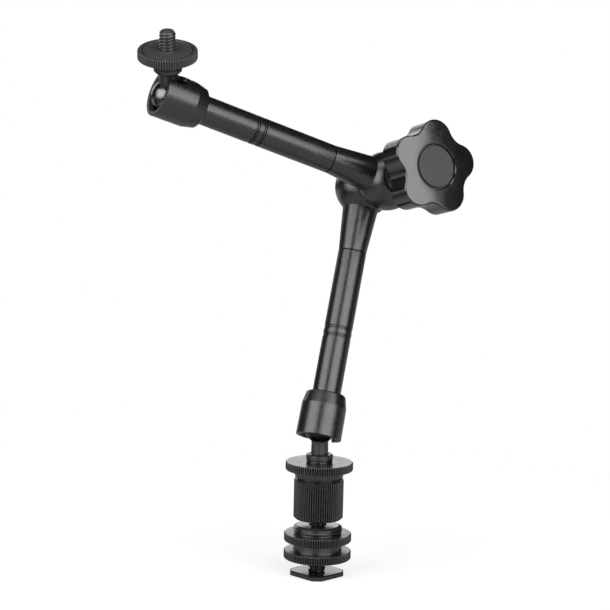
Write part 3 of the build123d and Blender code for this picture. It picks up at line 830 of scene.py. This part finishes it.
def arm_tube(side, matrix):
    """A tube with two stepped grooves and a narrow gap at the joint with the hub."""
    groove = [
        (GROOVE_EDGE_HALF, 0),
        (GROOVE_FLOOR_HALF, GROOVE_DEPTH),
        (LAND_FOOT_HALF, GROOVE_DEPTH),
        (LAND_HALF, LAND_DEPTH),
    ]
    points = [
        (TUBE_BORE, SPIGOT_PLACE),
        (SPIGOT_RADIUS, SPIGOT_PLACE),
        (SPIGOT_RADIUS, SOCKET_END),
        (TUBE_RADIUS - TUBE_BEVEL, SOCKET_END),
        (TUBE_RADIUS, TUBE_BEVEL_END),
    ]
    for place in GROOVE_PLACES:
        points += [(TUBE_RADIUS - depth, place - half) for half, depth in groove]
        points += [(TUBE_RADIUS - depth, place + half) for half, depth in reversed(groove)]
    points += [
        (TUBE_RADIUS, TUBE_END),
        (SEAM_FLOOR, SEAM_START),
        (SEAM_FLOOR, SEAM_END),
        (TAIL_RADIUS, SEAM_END),
        (TAIL_RADIUS, TAIL_END),
        (TUBE_BORE, TAIL_END),
    ]
    tube = lathe(side + "_arm_tube", matrix, rounded(points, TUBE_EDGE))
    dress(tube, side + "_arm", arm_black, side + "_tube")


for side, matrix in arms.items():
    ball_socket(side, matrix)
for side in arms:
    carried(side + "_cup", brass, width=0.1)
    carried(side + "_rod", steel)
    carried(side + "_hub", arm_black, width=0.12, angle=28)
for side, matrix in arms.items():
    arm_tube(side, matrix)

# Elbow
carried("elbow_washer", nylon_black)
carried("clamp_bolt", steel)
carried("knob_washer", steel)
carried("knob_insert", brass)

# Knob
KNOB_RADIUS = 19.15
KNOB_NOTCH = 15.0
LOBE_ROUND = 7.0
LOBES = 5
KNOB_TURN = radians(9.3)
KNOB_BACK = 24.35
KNOB_FRONT = 35.65
KNOB_SEGMENTS = 360
FACE_RINGS = 12
FRONT_STEPS = 10
BACK_STEPS = 4
FRONT_EDGE = 0.9
BACK_EDGE = 0.45
DOME_DEPTH = 0.55
DOME_SHAPE = 1.5
GROOVE_RADIUS = 9.1
GROOVE_EDGE = 0.25
FACE_START = GROOVE_RADIUS + GROOVE_EDGE
HOLLOW_RADIUS = 13.8
HOLLOW_FLOOR = KNOB_BACK + 4.1
HOLLOW_EDGE = 0.1
HOLLOW_DRAFT = 0.2
CORNER_WIDTH = 0.6
CORNER_DEPTH = 0.3
BOSS_ROOT = 1.2
BOSS_ROOT_CURVE = 0.4
BOSS_BEVEL = 0.3
KNOB_BOSS_RADIUS = 7.4
KNOB_BOSS_END = 10.05
INSERT_RADIUS = 4.55
CAP_FLOOR = KNOB_FRONT - 1.9
CAP_RADIUS = 9.05
CAP_FACE_RADIUS = 8.25
CAP_STEP = KNOB_FRONT - 1.0
CAP_EDGE = 0.25
CAP_SEGMENTS = 160


def lobed(angle):
    """The radius of the knob's outline: round lobes with tangent hollows between them."""
    half = pi / LOBES
    away = (angle - KNOB_TURN + half) % (2 * half) - half
    lobe_place = KNOB_RADIUS - LOBE_ROUND
    along = lobe_place * cos(half)
    gap = lobe_place**2 + KNOB_NOTCH**2 - 2 * along * KNOB_NOTCH - LOBE_ROUND**2
    hollow_round = gap / (2 * (LOBE_ROUND + along - KNOB_NOTCH))
    hollow_place = KNOB_NOTCH + hollow_round
    hollow = Vector((hollow_place * cos(half), hollow_place * sin(half)))
    touch = Vector((lobe_place, 0)).lerp(hollow, LOBE_ROUND / (LOBE_ROUND + hollow_round))
    if abs(away) < Vector((1, 0)).angle(touch):
        return lobe_place * cos(away) + sqrt(LOBE_ROUND**2 - (lobe_place * sin(away)) ** 2)
    rest = half - abs(away)
    return hollow_place * cos(rest) - sqrt(hollow_round**2 - (hollow_place * sin(rest)) ** 2)


def face_height(radius):
    """The knob's face falls away slightly from the groove to the lobes."""
    return KNOB_FRONT - DOME_DEPTH * ((radius - FACE_START) / (KNOB_RADIUS - FACE_START)) ** DOME_SHAPE


def star_knob():
    """The knob: a slightly domed face with a fine rounded edge, a hollow back and a long boss."""
    outline = [lobed(TURN * step / KNOB_SEGMENTS) for step in range(KNOB_SEGMENTS)]
    rings = []
    # The face, from the groove out to the lobes
    for index in range(FACE_RINGS + 1):
        share = index / FACE_RINGS
        radii = [FACE_START + (outer - FRONT_EDGE - FACE_START) * share for outer in outline]
        rings.append([(radius, face_height(radius)) for radius in radii])
    # The rounded front edge and the back edge
    for index in range(1, FRONT_STEPS + 1):
        turn = pi / 2 * index / FRONT_STEPS
        inset = FRONT_EDGE * (1 - sin(turn))
        drop = FRONT_EDGE * (1 - cos(turn))
        rings.append([(outer - inset, face_height(outer - FRONT_EDGE) - drop) for outer in outline])
    for index in range(BACK_STEPS + 1):
        turn = pi / 2 * index / BACK_STEPS
        height = KNOB_BACK + BACK_EDGE * (1 - sin(turn))
        rings.append([(outer - BACK_EDGE * (1 - cos(turn)), height) for outer in outline])
    # The hollow back, the boss, its bore and the groove round the cap
    for radius, height in (
        (HOLLOW_RADIUS, KNOB_BACK),
        (HOLLOW_RADIUS - HOLLOW_EDGE, KNOB_BACK + HOLLOW_EDGE),
        (HOLLOW_RADIUS - HOLLOW_DRAFT, HOLLOW_FLOOR - CORNER_DEPTH),
        (HOLLOW_RADIUS - CORNER_WIDTH, HOLLOW_FLOOR),
        (KNOB_BOSS_RADIUS + BOSS_ROOT, HOLLOW_FLOOR),
        (KNOB_BOSS_RADIUS + BOSS_ROOT_CURVE, HOLLOW_FLOOR - BOSS_ROOT_CURVE),
        (KNOB_BOSS_RADIUS, HOLLOW_FLOOR - BOSS_ROOT),
        (KNOB_BOSS_RADIUS, KNOB_BOSS_END + BOSS_BEVEL),
        (KNOB_BOSS_RADIUS - BOSS_BEVEL, KNOB_BOSS_END),
        (INSERT_RADIUS, KNOB_BOSS_END),
        (INSERT_RADIUS, CAP_FLOOR),
        (GROOVE_RADIUS, CAP_FLOOR),
        (GROOVE_RADIUS, KNOB_FRONT - GROOVE_EDGE),
    ):
        rings.append([(radius, height)] * KNOB_SEGMENTS)
    return skin("star_knob", knob_frame, rings)


dress(star_knob(), "clamp_knob", knob_black, "knob")
cap_profile = [
    (0, CAP_FLOOR),
    (CAP_RADIUS, CAP_FLOOR),
    (CAP_RADIUS, CAP_STEP),
    (CAP_FACE_RADIUS, CAP_STEP),
    (CAP_FACE_RADIUS, KNOB_FRONT),
    (0, KNOB_FRONT),
]
cap_outline = rounded(cap_profile, CAP_EDGE, closed=False)
front_cap = lathe("front_cap", knob_frame, cap_outline, CAP_SEGMENTS, closed=False)
dress(front_cap, "clamp_knob", cap_black, "knob_cap")

# Camera, where the photograph was taken from
CAMERA_PLACE = Vector((-530.98, -520.59, 206.81)) * MM
CAMERA_RIGHT = Vector((0.70903, -0.70480, 0.02326))
CAMERA_UP = Vector((0.07353, 0.10671, 0.99157))
IMAGE_SIDE = 610
FOCAL_PIXELS = 1864.1
SENSOR_WIDTH = 36.0
camera_data = bpy.data.cameras.new("camera")
camera_data.sensor_width = SENSOR_WIDTH
camera_data.lens = SENSOR_WIDTH * FOCAL_PIXELS / IMAGE_SIDE
camera_data.clip_start = 0.01
camera_data.clip_end = 50.0
camera = bpy.data.objects.new("camera", camera_data)
camera.matrix_world = placed(CAMERA_PLACE, CAMERA_RIGHT.cross(CAMERA_UP), CAMERA_RIGHT)
scene.collection.objects.link(camera)
scene.camera = camera

# Floor: white to the camera, and to the reflections a table with a white sweep behind it
FLOOR_RADIUS = 6.0
FLOOR_DROP = 0.00005
SHADOW_GREY = 0.36
SHADOW_GLOW = 0.72
SHADOW_FADE = 0.1
SHADOW_END = 0.3
TABLE_CENTRE = (0.0, -0.3, 0.0)
TABLE_EDGE = (0.46, 0.66)
TABLE_TONES = (0.54, 0.03)
VIEW_LINE = (0.7, 0.7, 0.0)
SWEEP_EDGE = (0.12, 0.4)
SWEEP_TONES = (0.0, 0.9)


def paper():
    """The floor's material. The camera sees it white, with the object's shadow close to the foot."""
    material = bpy.data.materials.new("paper")
    material.use_nodes = True
    nodes = material.node_tree.nodes
    links = material.node_tree.links
    nodes.clear()
    place = add(nodes, "TexCoord").outputs["Object"]

    reach = add(nodes, "VectorMath", operation="LENGTH")
    fade = add(nodes, "MapRange", {"From Min": SHADOW_FADE, "From Max": SHADOW_END})
    fade.interpolation_type = "SMOOTHSTEP"
    shade = add(nodes, "BsdfDiffuse", {"Color": (SHADOW_GREY, SHADOW_GREY, SHADOW_GREY, 1)})
    glow = add(nodes, "Emission", {"Strength": SHADOW_GLOW})
    near = add(nodes, "AddShader")
    white = add(nodes, "Emission")
    seen_floor = add(nodes, "MixShader")
    links.new(place, reach.inputs[0])
    links.new(reach.outputs["Value"], fade.inputs["Value"])
    links.new(shade.outputs[0], near.inputs[0])
    links.new(glow.outputs[0], near.inputs[1])
    links.new(fade.outputs["Result"], seen_floor.inputs[0])
    links.new(near.outputs[0], seen_floor.inputs[1])
    links.new(white.outputs[0], seen_floor.inputs[2])

    away = add(nodes, "VectorMath", {1: TABLE_CENTRE}, "DISTANCE")
    behind = add(nodes, "VectorMath", {1: VIEW_LINE}, "DOT_PRODUCT")
    links.new(place, away.inputs[0])
    links.new(place, behind.inputs[0])
    table = remap(nodes, links, away.outputs["Value"], *TABLE_TONES, *TABLE_EDGE)
    sweep = remap(nodes, links, behind.outputs["Value"], *SWEEP_TONES, *SWEEP_EDGE)
    tone = add(nodes, "Math", operation="MAXIMUM")
    matt = add(nodes, "BsdfDiffuse")
    links.new(table, tone.inputs[0])
    links.new(sweep, tone.inputs[1])
    links.new(tone.outputs[0], matt.inputs["Color"])

    rays = add(nodes, "LightPath")
    choice = add(nodes, "MixShader")
    output = add(nodes, "OutputMaterial")
    links.new(rays.outputs["Is Camera Ray"], choice.inputs[0])
    links.new(matt.outputs[0], choice.inputs[1])
    links.new(seen_floor.outputs[0], choice.inputs[2])
    links.new(choice.outputs[0], output.inputs["Surface"])
    return material


floor_mesh = bmesh.new()
bmesh.ops.create_circle(floor_mesh, cap_ends=True, segments=96, radius=FLOOR_RADIUS)
floor_data = bpy.data.meshes.new("floor")
floor_mesh.to_mesh(floor_data)
floor_mesh.free()
floor_data.materials.append(paper())
floor = bpy.data.objects.new("floor", floor_data)
floor.location.z = -FLOOR_DROP
scene.collection.objects.link(floor)

# Room: white to the camera, dim to the object, and a white backdrop in its reflections
ROOM_LIGHT = 0.02
BACKDROP_LINE = (0.7, 0.7, 0.1)
BACKDROP_EDGE = (0.965, 0.992)


def room():
    """The world's light, with the backdrop where a reflection looks along the line of view."""
    world = bpy.data.worlds.new("studio")
    world.use_nodes = True
    nodes = world.node_tree.nodes
    links = world.node_tree.links
    nodes.clear()
    direction = add(nodes, "TexCoord").outputs["Generated"]
    rays = add(nodes, "LightPath").outputs

    toward = add(nodes, "VectorMath", {1: BACKDROP_LINE}, "DOT_PRODUCT")
    links.new(direction, toward.inputs[0])
    extent = remap(nodes, links, toward.outputs["Value"], 0.0, 1.0, *BACKDROP_EDGE)
    mirrored = add(nodes, "Math", operation="MAXIMUM")
    in_reflection = add(nodes, "Math", operation="MULTIPLY")
    links.new(rays["Is Glossy Ray"], mirrored.inputs[0])
    links.new(rays["Is Transmission Ray"], mirrored.inputs[1])
    links.new(extent, in_reflection.inputs[0])
    links.new(mirrored.outputs[0], in_reflection.inputs[1])

    dim = add(nodes, "Background", {"Strength": ROOM_LIGHT})
    backdrop = add(nodes, "Background")
    seen = add(nodes, "Background", {"Color": (1, 1, 1, 1)})
    around = add(nodes, "MixShader")
    choice = add(nodes, "MixShader")
    output = add(nodes, "OutputWorld")
    links.new(in_reflection.outputs[0], around.inputs[0])
    links.new(dim.outputs[0], around.inputs[1])
    links.new(backdrop.outputs[0], around.inputs[2])
    links.new(rays["Is Camera Ray"], choice.inputs[0])
    links.new(around.outputs[0], choice.inputs[1])
    links.new(seen.outputs[0], choice.inputs[2])
    links.new(choice.outputs[0], output.inputs["Surface"])
    return world


scene.world = room()

# Lamps: soft boxes round the object
CAMERA_BEARING = -45
LAMP_DISTANCE = 1.5
AIM = Vector((0.0, 0.0, 0.13))


def soft_box(name, bearings, elevations, radiance):
    """A lamp that fills a range of bearings from the camera and of elevations, in degrees."""
    turn = radians(CAMERA_BEARING + sum(bearings) / 2)
    lift = radians(sum(elevations) / 2)
    back = Vector((sin(turn) * cos(lift), -cos(turn) * cos(lift), sin(lift)))
    half_height = LAMP_DISTANCE * tan(radians(elevations[1] - elevations[0]) / 2)
    level = LAMP_DISTANCE * cos(lift) + half_height / 2 * sin(lift)
    data = bpy.data.lights.new(name, "AREA")
    data.shape = "RECTANGLE"
    data.size = 2 * level * tan(radians(bearings[1] - bearings[0]) / 2)
    data.size_y = 2 * half_height
    data.energy = radiance * pi * data.size * data.size_y
    lamp = bpy.data.objects.new(name, data)
    facing = back.to_track_quat("Z", "Y").to_matrix().to_4x4()
    lamp.matrix_world = Matrix.Translation(AIM + back * LAMP_DISTANCE) @ facing
    lamp.visible_camera = False
    scene.collection.objects.link(lamp)


soft_box("left_box", bearings=(-80, -25), elevations=(-4, 43), radiance=3.4)
soft_box("right_box", bearings=(9, 66), elevations=(-4, 45), radiance=3.4)
soft_box("back_box", bearings=(174, 224), elevations=(4, 26), radiance=1.3)
soft_box("top_box", bearings=(-60, 60), elevations=(64, 84), radiance=2.8)

scene.view_settings.view_transform = "Standard"
